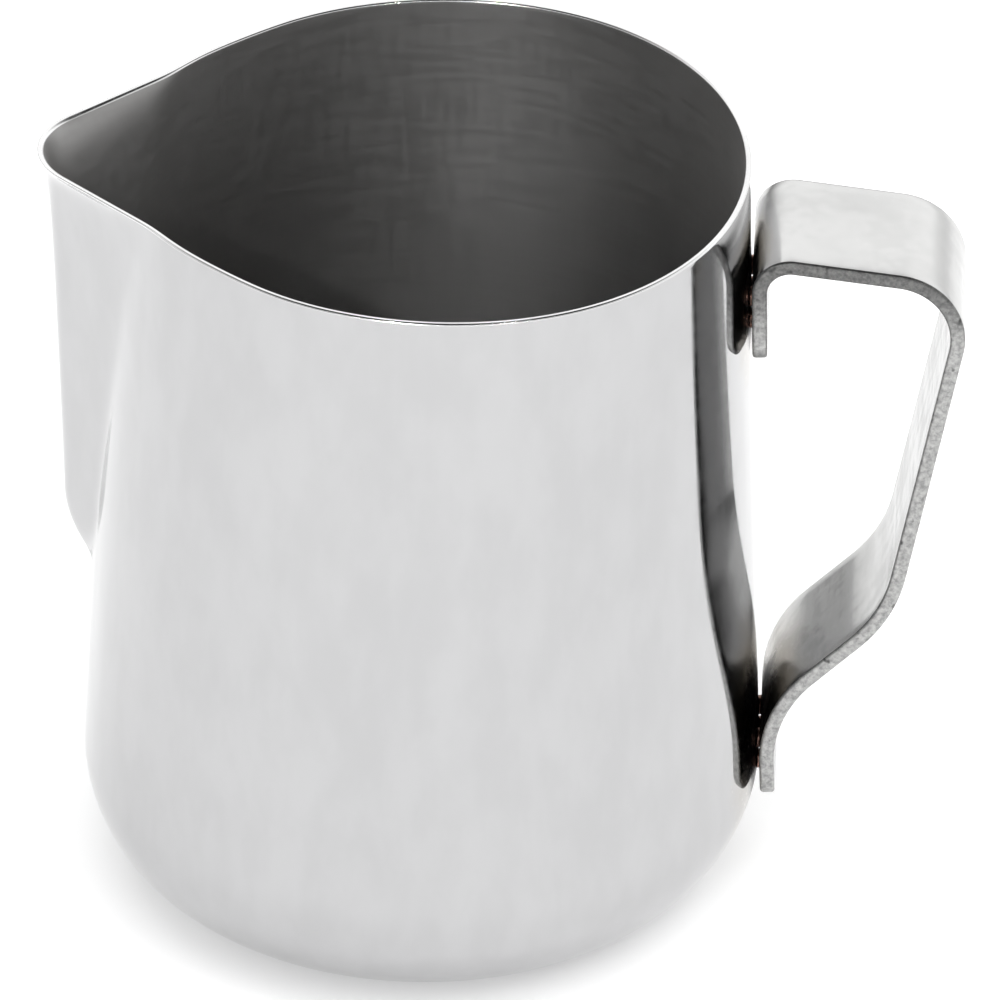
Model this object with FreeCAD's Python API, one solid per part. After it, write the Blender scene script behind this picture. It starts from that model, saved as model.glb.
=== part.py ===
"""Milk frothing pitcher: a one-piece drawn stainless body with a pressed pouring
spout, and a bent strap handle held to it by weld nuggets.

Frame: +Z is up, the origin is the middle of the flat ring that the pitcher stands
on, the handle points along +X and the spout along -X.  Units are millimetres.
"""
import FreeCAD, Part
import math
import os

V = FreeCAD.Vector

# ---------------------------------------------------------------- body sizes
height = 105.0            # from the standing ring to the rim
rim_radius = 41.0         # outside, at the rim, on the handle side
belly_radius = 43.9       # outside, where the wall runs into the base corner
flare_power = 1.25        # how the wall widens downwards: 1 is a cone, 2 is an arc
base_corner = 18.5        # outside radius of the corner under the wall
wall = 0.8                # sheet thickness of the body
ring_width = 3.4          # width of the flat standing ring
floor_rise = 1.0          # height of the middle of the floor above the ring
floor_step = 2.0          # width of the slope between the ring and the middle

# -------------------------------------------------------------- spout sizes
spout_length = 60.0       # from the rim down to where the spout runs out
spout_reach = 7.6         # how far the nose stands out of the wall, at the top
spout_foot_reach = 4.1    # how far it stands out just above its rounded foot
spout_foot = 11.0         # height of the rounded foot
nose_radius = 4.1         # roundness of the nose, seen from above
flank_angle = 50.0        # between each flank and the spout's centre line, degrees
crease_blend = 1.1        # softness of the crease between a flank and the wall
lip_flare = 1.3           # how far the pouring lip curls out beyond the nose
lip_depth = 3.2           # how fast the curl dies away below the rim
lip_radius = 11.6         # roundness of the lip at the rim
lip_angle = 44.5          # the flanks' angle at the rim, degrees
rim_shift = 1.2           # pressing the spout moves the rim towards the handle,
rim_pinch = 0.6           # makes it a little three-cornered,
rim_squash = 0.6          # wider across than along,
rim_waist = 0.55          # and draws it in beside the spout,
waist_angle = 50.0        # this far round from the nose, degrees,
waist_width = 13.0        # over this half width, degrees

# ------------------------------------------------------------- handle sizes
strap_width = 21.5
strap_thickness = 1.9
handle_stand = 29.5       # outermost bend line, out from the rim
handle_top = 7.1          # top of the strap at the wall, below the rim
handle_drop = 3.4         # how much lower the strap is at its outermost bend
upper_tab = 16.0          # length of the upper tab, from the top of the strap
grip_foot_stand = 17.1    # bend at the lower end of the grip, out from the belly
grip_foot_rise = 15.1     # its height above the bend where the strap turns to the wall
lower_tab = 12.8          # length of the lower tab, from that bend down
lower_tab_hang = 1.9      # how far the tab's end is below the middle of the base corner
tab_corner = 3.0          # rounding of the strap's four corners
top_bend = 4.9            # outside bend radii, in the order that the strap runs
outer_bend = 9.5
grip_bend = 19.9
wall_bend = 16.0

# --------------------------------------------------------------- weld sizes
weld_gap = 0.25           # between the strap and the wall, filled by the nuggets
nugget_radius = 1.3
nugget_pitch = 3.2        # between an upper and a lower nugget of a tab
nugget_spread = 8.0       # between two nuggets side by side
upper_nugget_drop = 9.6   # from the top of the upper tab to its upper nuggets
lower_nugget_rise = 2.2   # from the end of the lower tab to its lower nuggets

# ------------------------------------------------------- shape of the wall
spout_end = height - spout_length
join_margin = 3.0         # plain round wall below the spout, in the same surface
join_height = spout_end - join_margin
slope_step = 1e-4         # angle step for the slope of a section, radians


def wall_lean():
    """Angle of the wall to the vertical where it meets the base corner."""
    lean = 0.0
    for _ in range(12):
        straight = height - base_corner * (1.0 + math.sin(lean))
        lean = math.atan(flare_power * (belly_radius - rim_radius) / straight)
    return lean


lean = wall_lean()
wall_foot = base_corner * (1.0 + math.sin(lean))
corner_centre = belly_radius - base_corner * math.cos(lean)


def round_radius(z):
    """Outside radius of the body without its spout, at a height above the ring."""
    if z < wall_foot:
        return corner_centre + math.sqrt(base_corner ** 2 - (base_corner - z) ** 2)
    share = max(0.0, (height - z) / (height - wall_foot))
    return rim_radius + (belly_radius - rim_radius) * share ** flare_power


def smooth_step(share):
    """Eased change from 0 to 1 as the share goes from 0 to 1."""
    share = min(1.0, max(0.0, share))
    return share * share * (3.0 - 2.0 * share)


def pulled_radius(z, phi):
    """Outside radius of the wall, drawn out of round towards the rim."""
    theta = math.pi - phi
    pull = rim_shift * (math.cos(theta) - 1.0)
    pull -= rim_squash * (math.cos(2.0 * theta) - 1.0)
    pull -= rim_pinch * (math.cos(3.0 * theta) - 1.0)
    from_waist = (math.degrees(phi) - waist_angle) / waist_width
    pull -= rim_waist * math.exp(-from_waist ** 2)
    return round_radius(z) + pull * smooth_step((z - spout_end) / spout_length)


def nose_stand(z):
    """How far the nose stands out of the round wall at a height."""
    depth = height - z
    share = depth / (spout_length - spout_foot)
    stand = spout_reach + (spout_foot_reach - spout_reach) * share
    into_foot = (depth - (spout_length - spout_foot)) / spout_foot
    if into_foot > 0.0:
        stand = spout_foot_reach * (1.0 - into_foot * into_foot)
    return stand + lip_flare * math.exp(-depth / lip_depth)


def flank_radius(z, phi):
    """Distance from the axis to the spout's nose or flank, along a ray."""
    curl = math.exp(-max(0.0, height - z) / lip_depth)
    tip = nose_radius + (lip_radius - nose_radius) * curl
    centre = round_radius(z) + nose_stand(z) - tip
    normal = math.radians(90.0 - flank_angle + (flank_angle - lip_angle) * curl)
    touch = math.atan2(tip * math.sin(normal), centre + tip * math.cos(normal))
    if phi < touch:
        across = centre * math.sin(phi)
        return centre * math.cos(phi) + math.sqrt(tip * tip - across * across)
    flat = centre * math.cos(normal) + tip
    turn = math.cos(phi - normal)
    return flat / turn if phi < normal else flat * turn


def smooth_max(a, b, blend):
    """The larger of two lengths, with the corner between them rounded."""
    near = max(0.0, blend - abs(a - b)) / blend
    return max(a, b) + near ** 3 * blend / 6.0


def outer_radius(z, phi):
    """Outside radius of the body; phi is the angle from the spout."""
    phi = abs(phi)
    return smooth_max(pulled_radius(z, phi), flank_radius(z, phi), crease_blend)


def wall_point(z, phi, inset):
    """Point of the wall at a height and angle, a distance in from its outside."""
    r = outer_radius(z, phi)
    ahead = outer_radius(z, phi + slope_step)
    slope = (ahead - outer_radius(z, phi - slope_step)) / (2.0 * slope_step)
    size = math.hypot(r, slope)
    radial = r - inset * r / size
    along = inset * slope / size
    x = radial * math.cos(phi) - along * math.sin(phi)
    y = radial * math.sin(phi) + along * math.cos(phi)
    return V(-x, -y, z)


# --------------------------------------------------- body as skinned surface
half_steps = 44           # points round half a section, closer at the spout
near_share = 0.32         # spacing at the spout as a share of even spacing
longest_step = 5.0        # between two sections
foot_step = 1.2           # between two sections at the foot of the spout
lip_step = 0.9            # between two sections at the rim
step_growth = 0.2         # how much longer a step gets for each mm from those places
cut_margin = 1.0          # how far the hollow is cut past the rim
join_tolerance = 0.002    # of the seam between the skinned and the turned parts


def section_angles():
    """Angles from the handle right round to the handle, 0 being the spout."""
    half = []
    for i in range(half_steps + 1):
        share = i / half_steps
        half.append(math.pi * (near_share * share + (1.0 - near_share) * share ** 3))
    return [-a for a in reversed(half)] + half[1:]


def section_heights():
    """Heights of the sections: close together at the foot and at the lip."""
    heights = []
    z = join_height
    while z < height - lip_step:
        heights.append(z)
        at_foot = foot_step + step_growth * abs(z - spout_end)
        at_lip = lip_step + step_growth * (height - z)
        z += min(longest_step, at_foot, at_lip)
    return heights + [height]


def section(z, inset):
    """Closed outline of the wall at a height, a distance in from its outside."""
    angles = section_angles()
    points = [wall_point(z, phi, inset) for phi in angles[:-1]]
    curve = Part.BSplineCurve()
    curve.interpolate(Points=points, PeriodicFlag=True, Parameters=angles)
    return Part.Wire([curve.toShape()])


def upper_block(inset, margin):
    """The solid inside the wall from the join to the rim and a margin past it."""
    heights = section_heights()
    if margin > 0.0:
        heights.append(height + margin)
    return Part.makeLoft([section(z, inset) for z in heights], True, False)


def round_wall(inset, foot_height, foot_radius):
    """Edge of the plain wall from the join down to the base corner."""
    steps = 6
    points = []
    for i in range(steps):
        z = join_height + (foot_height - join_height) * i / steps
        points.append(V(round_radius(z) - inset, 0.0, z))
    points.append(V(foot_radius, 0.0, foot_height))
    curve = Part.BSplineCurve()
    curve.interpolate(points)
    return curve.toShape()


def lower_block(inset):
    """The solid inside the wall below the join: corner, ring and raised floor."""
    corner = base_corner - inset
    centre = V(corner_centre, 0.0, base_corner)
    start = centre + V(corner * math.cos(lean), 0.0, corner * math.sin(lean))
    middle_angle = (lean - math.pi / 2.0) / 2.0
    middle = centre + V(corner * math.cos(middle_angle), 0.0, corner * math.sin(middle_angle))
    end = centre - V(0.0, 0.0, corner)
    ring_inside = V(corner_centre - ring_width, 0.0, inset)
    step_inside = V(corner_centre - ring_width - floor_step, 0.0, inset + floor_rise)
    floor_middle = V(0.0, 0.0, inset + floor_rise)
    top_middle = V(0.0, 0.0, join_height)
    top_outside = V(round_radius(join_height) - inset, 0.0, join_height)
    outline = Part.Wire([
        round_wall(inset, start.z, start.x),
        Part.Arc(start, middle, end).toShape(),
        Part.makeLine(end, ring_inside),
        Part.makeLine(ring_inside, step_inside),
        Part.makeLine(step_inside, floor_middle),
        Part.makeLine(floor_middle, top_middle),
        Part.makeLine(top_middle, top_outside),
    ])
    return Part.Face(outline).revolve(V(0, 0, 0), V(0, 0, 1), 360.0)


def pitcher_body():
    """The drawn body: wall with its spout, round corner, ring and raised floor."""
    outside = upper_block(0.0, 0.0).fuse([lower_block(0.0)], join_tolerance)
    inside = upper_block(wall, cut_margin).fuse([lower_block(wall)], join_tolerance)
    return outside.cut(inside)


# -------------------------------------------------------------------- handle
def wall_face(z):
    """Where the strap's tab lies: the wall behind the handle, plus the weld gap."""
    return round_radius(z) + weld_gap


def strap_line():
    """Corner points of the strap's outer face, from the upper tab's end round."""
    top = height - handle_top
    upper_end = top - upper_tab
    lower_end = base_corner - lower_tab_hang
    lower_bend = lower_end + lower_tab
    tab_lean = (wall_face(wall_foot) - wall_face(lower_bend)) / (lower_bend - wall_foot)
    bend_face = wall_face(lower_bend) + strap_thickness
    return [
        V(wall_face(upper_end), 0.0, upper_end),
        V(wall_face(top), 0.0, top),
        V(rim_radius + handle_stand, 0.0, top - handle_drop),
        V(belly_radius + grip_foot_stand, 0.0, lower_bend + grip_foot_rise),
        V(bend_face, 0.0, lower_bend),
        V(bend_face + lower_tab * tab_lean, 0.0, lower_end),
    ]


def strap_radii(inset):
    """Bend radii of a face of the strap, a distance in from its outer face."""
    return [top_bend - inset, outer_bend - inset, grip_bend - inset, wall_bend + inset]


def offset_corners(points, inset):
    """Corner points moved in from the outer face, each on both of its new lines."""
    normals = []
    for a, b in zip(points, points[1:]):
        run = (b - a).normalize()
        normals.append(V(run.z, 0.0, -run.x))
    moved = [points[0] + normals[0] * inset]
    for i in range(1, len(points) - 1):
        before = normals[i - 1]
        after = normals[i]
        moved.append(points[i] + (before + after) * (inset / (1.0 + before.dot(after))))
    moved.append(points[-1] + normals[-1] * inset)
    return moved


def rounded_path(points, radii):
    """Edges along corner points, with an arc of the given radius at each bend."""
    edges = []
    start = points[0]
    for before, corner, after, radius in zip(points, points[1:], points[2:], radii):
        back = (before - corner).normalize()
        on = (after - corner).normalize()
        half = back.getAngle(on) / 2.0
        reach = radius / math.tan(half)
        to_centre = (back + on).normalize()
        first = corner + back * reach
        last = corner + on * reach
        crown = corner + to_centre * (radius / math.sin(half) - radius)
        edges.append(Part.makeLine(start, first))
        edges.append(Part.Arc(first, crown, last).toShape())
        start = last
    edges.append(Part.makeLine(start, points[-1]))
    return edges


def strap_corners(strap):
    """The four short edges at the strap's ends, which are rounded."""
    line = strap_line()
    ends = (line[0], line[-1])
    picked = []
    for edge in strap.Edges:
        middle = edge.CenterOfMass
        if abs(abs(middle.y) - strap_width / 2.0) > 1e-6:
            continue
        if abs(edge.Length - strap_thickness) > 1e-3:
            continue
        if min(middle.distanceToPoint(V(e.x, middle.y, e.z)) for e in ends) < 1.01 * strap_thickness:
            picked.append(edge)
    return picked


def handle_strap():
    """The strap: one bent strip with rounded corners, its tabs along the wall."""
    outer = strap_line()
    inner = offset_corners(outer, strap_thickness)
    outer_edges = rounded_path(outer, strap_radii(0.0))
    inner_edges = rounded_path(inner, strap_radii(strap_thickness))
    ends = [Part.makeLine(outer[0], inner[0]), Part.makeLine(outer[-1], inner[-1])]
    outline = Part.Wire(Part.__sortEdges__(outer_edges + inner_edges + ends))
    face = Part.Face(outline)
    face.translate(V(0.0, -strap_width / 2.0, 0.0))
    strap = face.extrude(V(0.0, strap_width, 0.0))
    return strap.makeFillet(tab_corner, strap_corners(strap))


# --------------------------------------------------------------------- welds
def nuggets(heights, body, strap):
    """Weld nuggets through the gap between the wall and a tab, two at each height."""
    solids = []
    for z in heights:
        for y in (-nugget_spread / 2.0, nugget_spread / 2.0):
            start = math.sqrt(round_radius(z) ** 2 - y ** 2) - wall / 2.0
            end = wall_face(z) + strap_thickness / 2.0
            pin = Part.makeCylinder(nugget_radius, end - start, V(start, y, z), V(1, 0, 0))
            solids += pin.cut([body, strap]).Solids
    return Part.makeCompound(solids)


def save(name, shape):
    shape.exportStep(os.path.join("parts", name + ".step"))
    print(name, len(shape.Solids), "solid(s)", round(shape.Volume, 1), "mm3", shape.isValid())


def main():
    os.makedirs("parts", exist_ok=True)
    body = pitcher_body()
    strap = handle_strap()
    upper = height - handle_top - upper_nugget_drop
    lower = base_corner - lower_tab_hang + lower_nugget_rise
    upper_heights = [upper, upper - nugget_pitch]
    lower_heights = [lower + nugget_pitch, lower]
    save("pitcher_body", body)
    save("handle_strap", strap)
    save("upper_weld_nuggets", nuggets(upper_heights, body, strap))
    save("lower_weld_nuggets", nuggets(lower_heights, body, strap))


main()
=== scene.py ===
"""Milk frothing pitcher: the looks of a polished steel pitcher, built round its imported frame.

The body is skinned from the same wall formula as its solid, the handle is a strip bent
along the same line, and the welds are small upset beads.  Everything is in metres, in the
frame of the part: +Z up, the handle along +X and the spout along -X.
"""

import logging
import math
import random
from collections.abc import Callable
from dataclasses import dataclass
from enum import Enum

import bpy
from mathutils import Matrix, Vector


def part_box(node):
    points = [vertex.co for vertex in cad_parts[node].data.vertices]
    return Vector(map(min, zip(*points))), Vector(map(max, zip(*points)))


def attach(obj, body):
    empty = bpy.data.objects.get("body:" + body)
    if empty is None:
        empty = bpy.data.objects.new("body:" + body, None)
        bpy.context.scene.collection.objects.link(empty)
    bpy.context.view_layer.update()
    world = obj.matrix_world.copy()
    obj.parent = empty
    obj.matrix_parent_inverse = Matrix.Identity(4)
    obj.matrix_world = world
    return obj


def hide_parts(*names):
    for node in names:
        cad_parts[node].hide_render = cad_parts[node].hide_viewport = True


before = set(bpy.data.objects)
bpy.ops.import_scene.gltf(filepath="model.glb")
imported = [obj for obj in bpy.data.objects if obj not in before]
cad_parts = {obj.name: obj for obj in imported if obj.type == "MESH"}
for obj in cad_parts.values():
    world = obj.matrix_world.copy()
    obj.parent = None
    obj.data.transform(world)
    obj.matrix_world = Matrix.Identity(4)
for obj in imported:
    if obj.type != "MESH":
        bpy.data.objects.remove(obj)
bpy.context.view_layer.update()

LOG = logging.getLogger("pitcher")
MM = 0.001
Colour = tuple[float, float, float]
STRAW: Colour = (0.42, 0.38, 0.32)
# near-black: partly heat tint, partly painted shade on the faces either side of the gap behind a tab
SCORCH_AND_GAP_SHADE: Colour = (0.035, 0.031, 0.030)
SPATTER: Colour = (0.78, 0.75, 0.72)


# ---------------------------------------------------------------------------
# Shape of the drawn wall
# ---------------------------------------------------------------------------
@dataclass(frozen=True)
class WallShape:
    """Outside of the drawn body: a round widening wall with a pressed spout.

    Heights are above the standing ring.  Angles called phi are measured round the
    upright axis from the spout, so the handle is at half a turn.
    """

    height: float
    rim_radius: float = 41.0 * MM
    belly_radius: float = 43.9 * MM
    flare_power: float = 1.25
    base_corner: float = 18.5 * MM
    wall: float = 0.8 * MM
    ring_width: float = 3.4 * MM
    floor_rise: float = 1.0 * MM
    floor_step: float = 2.0 * MM
    spout_length: float = 60.0 * MM
    spout_reach: float = 7.6 * MM
    spout_foot_reach: float = 4.1 * MM
    spout_foot: float = 11.0 * MM
    nose_radius: float = 4.1 * MM
    flank_angle: float = 50.0
    crease_blend: float = 1.1 * MM
    lip_flare: float = 1.3 * MM
    lip_depth: float = 3.2 * MM
    lip_radius: float = 11.6 * MM
    lip_angle: float = 44.5
    rim_shift: float = 1.2 * MM
    rim_pinch: float = 0.6 * MM
    rim_squash: float = 0.6 * MM
    rim_waist: float = 0.55 * MM
    waist_angle: float = 50.0
    waist_width: float = 13.0

    @property
    def lean(self) -> float:
        """Angle of the wall to the vertical where it meets the base corner.

        Returns:
            The angle in radians.
        """
        lean = 0.0
        for _ in range(12):
            straight = self.height - self.base_corner * (1.0 + math.sin(lean))
            lean = math.atan(self.flare_power * (self.belly_radius - self.rim_radius) / straight)
        return lean

    @property
    def wall_foot(self) -> float:
        """Height where the wall runs into the base corner."""
        return self.base_corner * (1.0 + math.sin(self.lean))

    @property
    def corner_centre(self) -> float:
        """Distance from the axis to the middle of the base corner's arc."""
        return self.belly_radius - self.base_corner * math.cos(self.lean)

    def round_radius(self, z: float) -> float:
        """Outside radius of the wall without its spout, at a height.

        Args:
            z: height of the section.

        Returns:
            The radius.
        """
        if z < self.wall_foot:
            return self.corner_centre + math.sqrt(self.base_corner**2 - (self.base_corner - z) ** 2)
        share = max(0.0, (self.height - z) / (self.height - self.wall_foot))
        return self.rim_radius + (self.belly_radius - self.rim_radius) * share**self.flare_power

    def pulled_radius(self, z: float, phi: float) -> float:
        """Outside radius of the wall, drawn out of round towards the rim.

        Args:
            z: height of the section.
            phi: angle from the spout.

        Returns:
            The radius.
        """
        theta = math.pi - phi
        pull = self.rim_shift * (math.cos(theta) - 1.0)
        pull -= self.rim_squash * (math.cos(2.0 * theta) - 1.0)
        pull -= self.rim_pinch * (math.cos(3.0 * theta) - 1.0)
        from_waist = (math.degrees(phi) - self.waist_angle) / self.waist_width
        pull -= self.rim_waist * math.exp(-from_waist * from_waist)
        share = (z - self.height + self.spout_length) / self.spout_length
        share = min(1.0, max(0.0, share))
        return self.round_radius(z) + pull * share * share * (3.0 - 2.0 * share)

    def nose_stand(self, z: float) -> float:
        """How far the spout's nose stands out of the round wall, at a height.

        Args:
            z: height of the section.

        Returns:
            The distance.
        """
        depth = self.height - z
        straight = self.spout_length - self.spout_foot
        stand = self.spout_reach + (self.spout_foot_reach - self.spout_reach) * depth / straight
        into_foot = (depth - straight) / self.spout_foot
        if into_foot > 0.0:
            stand = self.spout_foot_reach * (1.0 - into_foot * into_foot)
        return stand + self.lip_flare * math.exp(-depth / self.lip_depth)

    def flank_radius(self, z: float, phi: float) -> float:
        """Distance from the axis to the spout's nose or flank, along a ray.

        Args:
            z: height of the section.
            phi: angle from the spout, not negative.

        Returns:
            The distance.
        """
        curl = math.exp(-max(0.0, self.height - z) / self.lip_depth)
        tip = self.nose_radius + (self.lip_radius - self.nose_radius) * curl
        centre = self.round_radius(z) + self.nose_stand(z) - tip
        normal = math.radians(90.0 - self.flank_angle + (self.flank_angle - self.lip_angle) * curl)
        touch = math.atan2(tip * math.sin(normal), centre + tip * math.cos(normal))
        if phi < touch:
            across = centre * math.sin(phi)
            return centre * math.cos(phi) + math.sqrt(tip * tip - across * across)
        flat = centre * math.cos(normal) + tip
        turn = math.cos(phi - normal)
        return flat / turn if phi < normal else flat * turn

    def outer_radius(self, z: float, phi: float) -> float:
        """Outside radius of the body at a height and an angle from the spout.

        Args:
            z: height of the section.
            phi: angle from the spout.

        Returns:
            The radius.
        """
        phi = abs(phi)
        plain = self.pulled_radius(z, phi)
        flank = self.flank_radius(z, phi)
        near = max(0.0, self.crease_blend - abs(plain - flank)) / self.crease_blend
        return max(plain, flank) + near**3 * self.crease_blend / 6.0

    def point(self, z: float, phi: float, inset: float) -> Vector:
        """Point of the wall, a distance in from its outside.

        Args:
            z: height of the point.
            phi: angle from the spout.
            inset: distance in from the outside, along the section's own normal.

        Returns:
            The point in the part's frame.
        """
        step = 1e-4
        r = self.outer_radius(z, phi)
        slope = (self.outer_radius(z, phi + step) - self.outer_radius(z, phi - step)) / (2.0 * step)
        size = math.hypot(r, slope)
        radial = r - inset * r / size
        along = inset * slope / size
        x = radial * math.cos(phi) - along * math.sin(phi)
        y = radial * math.sin(phi) + along * math.cos(phi)
        return Vector((-x, -y, z))

    def base_line(self, inset: float) -> list[tuple[float, float]]:
        """Radius and height of points from the wall's foot round to the middle.

        Args:
            inset: distance in from the outside of the sheet.

        Returns:
            Pairs of radius and height, ending just outside the axis.
        """
        corner = self.base_corner - inset
        line = []
        steps = 28
        for i in range(steps + 1):
            angle = self.lean - (self.lean + math.pi / 2.0) * i / steps
            r = self.corner_centre + corner * math.cos(angle)
            line.append((r, self.base_corner + corner * math.sin(angle)))
        ring_inside = self.corner_centre - self.ring_width
        for i in range(1, 4):
            line.append((self.corner_centre - self.ring_width * i / 4.0, inset))
        steps = 8
        for i in range(steps + 1):
            share = i / steps
            rise = share * share * (3.0 - 2.0 * share)
            line.append((ring_inside - self.floor_step * share, inset + self.floor_rise * rise))
        plate = ring_inside - self.floor_step
        for share in (0.85, 0.65, 0.45, 0.25, 0.1):
            line.append((plate * share, inset + self.floor_rise))
        return line


# ---------------------------------------------------------------------------
# Line of the bent strap
# ---------------------------------------------------------------------------
@dataclass(frozen=True)
class Bend:
    """One stretch of the strap's line: a straight run, or an arc about a centre."""

    start: float
    length: float
    origin: Vector
    run: Vector
    centre: Vector | None = None
    radius: float = 0.0
    turn: float = 0.0

    def at(self, s: float) -> tuple[Vector, Vector]:
        """Point of the line and the direction into the strap, at a length along it.

        Args:
            s: length along the whole line.

        Returns:
            The point and the direction.
        """
        along = s - self.start
        if self.centre is None:
            return self.origin + self.run * along, Vector((self.run.z, 0.0, -self.run.x))
        angle = self.turn * along / self.length
        spin = Matrix.Rotation(angle, 3, "Y")
        run = spin @ self.run
        return self.centre + spin @ (self.origin - self.centre), Vector((run.z, 0.0, -run.x))


@dataclass(frozen=True)
class StrapShape:
    """Flat strip bent into an open handle, described by its outer face."""

    wall: WallShape
    width: float = 21.5 * MM
    thickness: float = 1.9 * MM
    stand: float = 29.5 * MM
    top_below_rim: float = 7.1 * MM
    drop: float = 3.4 * MM
    upper_tab: float = 16.0 * MM
    grip_foot_stand: float = 17.1 * MM
    grip_foot_rise: float = 15.1 * MM
    lower_tab: float = 12.8 * MM
    lower_tab_hang: float = 1.9 * MM
    tab_corner: float = 3.0 * MM
    edge_break: float = 0.42 * MM
    radii: tuple[float, ...] = (4.9 * MM, 9.5 * MM, 19.9 * MM, 16.0 * MM)
    weld_gap: float = 0.25 * MM

    def corners(self) -> list[Vector]:
        """Corner points of the outer face, from the upper tab's end round.

        Returns:
            Six points in the XZ plane.
        """
        def face(z: float) -> float:
            """Distance from the axis to a tab at a height."""
            return self.wall.round_radius(z) + self.weld_gap

        top = self.wall.height - self.top_below_rim
        upper_end = top - self.upper_tab
        lower_end = self.wall.base_corner - self.lower_tab_hang
        bend = lower_end + self.lower_tab
        foot = self.wall.wall_foot
        lean = (face(foot) - face(bend)) / (bend - foot)
        bend_face = face(bend) + self.thickness
        return [
            Vector((face(upper_end), 0.0, upper_end)),
            Vector((face(top), 0.0, top)),
            Vector((self.wall.rim_radius + self.stand, 0.0, top - self.drop)),
            Vector((self.wall.belly_radius + self.grip_foot_stand, 0.0, bend + self.grip_foot_rise)),
            Vector((bend_face, 0.0, bend)),
            Vector((bend_face + self.lower_tab * lean, 0.0, lower_end)),
        ]

    def bends(self) -> list[Bend]:
        """The line as straight runs joined by arcs that touch them.

        Returns:
            The stretches in the order that the strap runs.
        """
        points = self.corners()
        stretches: list[Bend] = []
        start = points[0]
        travelled = 0.0
        for before, corner, after, radius in zip(points, points[1:], points[2:], self.radii):
            back = (before - corner).normalized()
            on = (after - corner).normalized()
            half = back.angle(on) / 2.0
            first = corner + back * (radius / math.tan(half))
            run = (first - start).length
            stretches.append(Bend(travelled, run, start, -back))
            travelled += run
            centre = corner + (back + on).normalized() * (radius / math.sin(half))
            side = 1.0 if (-back).cross(on).y > 0.0 else -1.0
            angle = math.pi - 2.0 * half
            stretches.append(Bend(travelled, radius * angle, first, -back, centre, radius, side * angle))
            travelled += radius * angle
            start = corner + on * (radius / math.tan(half))
        run = (points[-1] - start).length
        stretches.append(Bend(travelled, run, start, (points[-1] - start).normalized()))
        return stretches

    def stations(self) -> list[float]:
        """Lengths along the line where the mesh has a row, close together in bends.

        Returns:
            The lengths, rising.
        """
        marks: list[float] = []
        for bend in self.bends():
            if bend.centre is None:
                steps = max(2, round(bend.length / (2.0 * MM)))
            else:
                steps = max(8, round(abs(bend.turn) / math.radians(4.0)))
            marks += [bend.start + bend.length * i / steps for i in range(steps)]
        last = self.bends()[-1]
        total = last.start + last.length
        corner = self.tab_corner
        rounded = [corner * (1.0 - math.cos(math.radians(a))) for a in range(0, 90, 10)]
        inner = [m for m in marks if corner * 1.15 < m < total - corner * 1.15]
        near_end = [total - m for m in reversed(rounded)]
        return rounded + [corner] + inner + [total - corner] + near_end


# ---------------------------------------------------------------------------
# Shader node groups
# ---------------------------------------------------------------------------
class Socket(Enum):
    """Kinds of socket that a node group offers."""

    VALUE = "NodeSocketFloat"
    VECTOR = "NodeSocketVector"


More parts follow.
